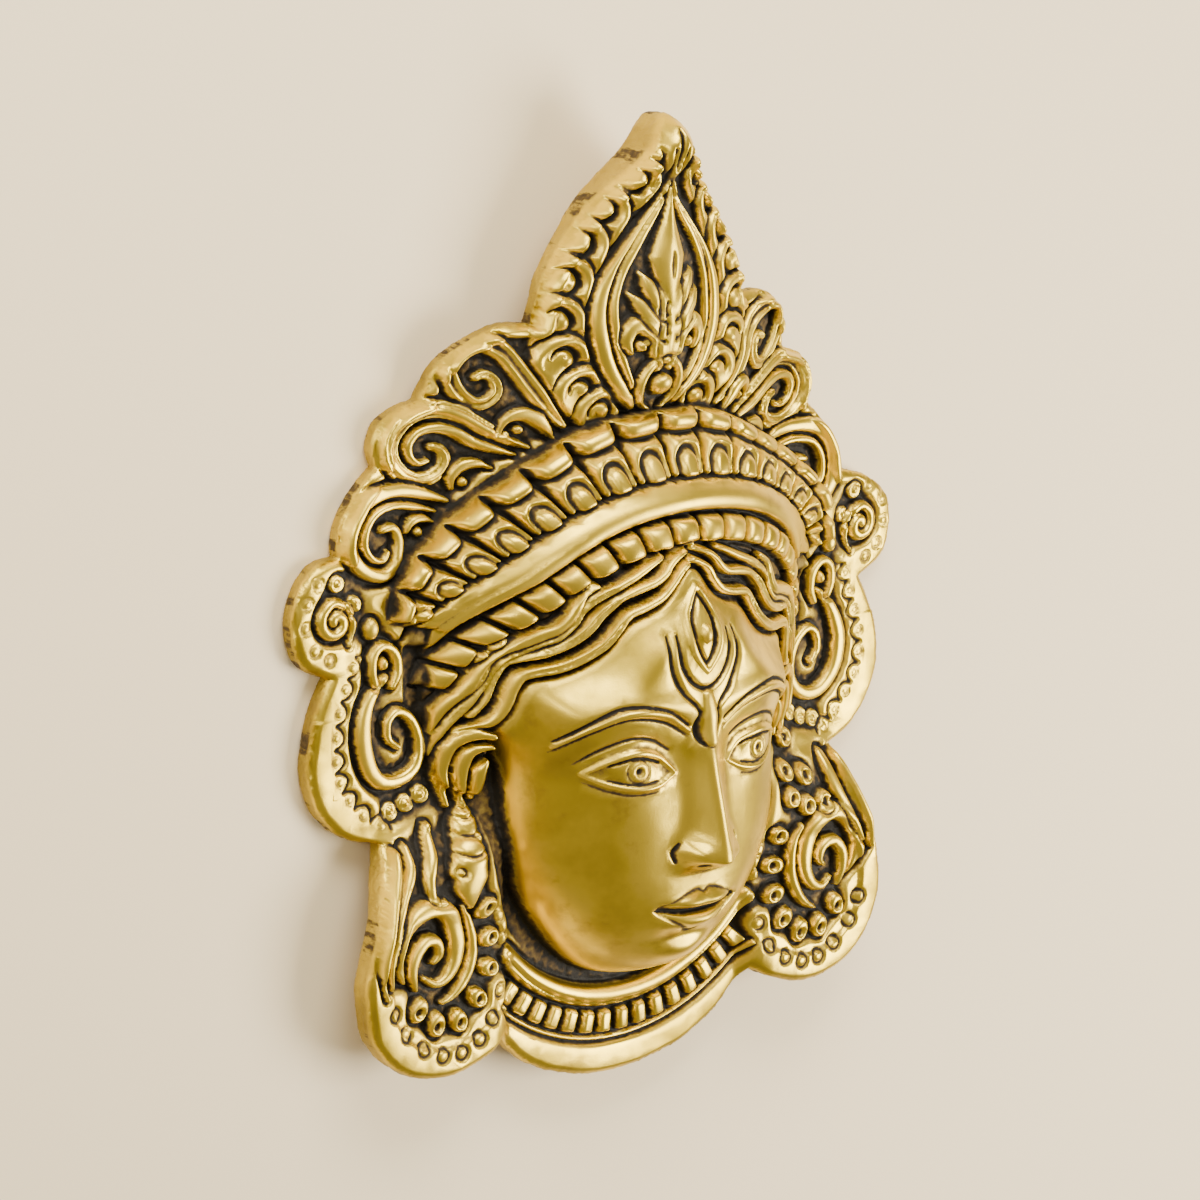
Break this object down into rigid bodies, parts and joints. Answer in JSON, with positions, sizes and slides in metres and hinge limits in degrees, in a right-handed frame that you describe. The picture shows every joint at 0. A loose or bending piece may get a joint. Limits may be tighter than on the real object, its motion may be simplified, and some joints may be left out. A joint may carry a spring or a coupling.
{
  "type": "durga mask",
  "caption": "Cast brass wall mask of a crowned goddess, hollow behind the head, with a scrolled crown, beaded diadem, waved hair, ear pendants and a collar.",
  "frame": {"origin": "middle of the mask's outline, on the plane that its back lies on", "axes": "+X across to the right seen from the front, +Y towards the tip of the crown, +Z out of the face"},
  "size_m": [0.1576, 0.2006, 0.0431],
  "materials": {
    "brass": "antique cast brass: polished high places, dark patina in the grooves, grey-brown granular recesses"
  },
  "bodies": {
    "root": {"mask": "brass"}
  },
  "joints": []
}
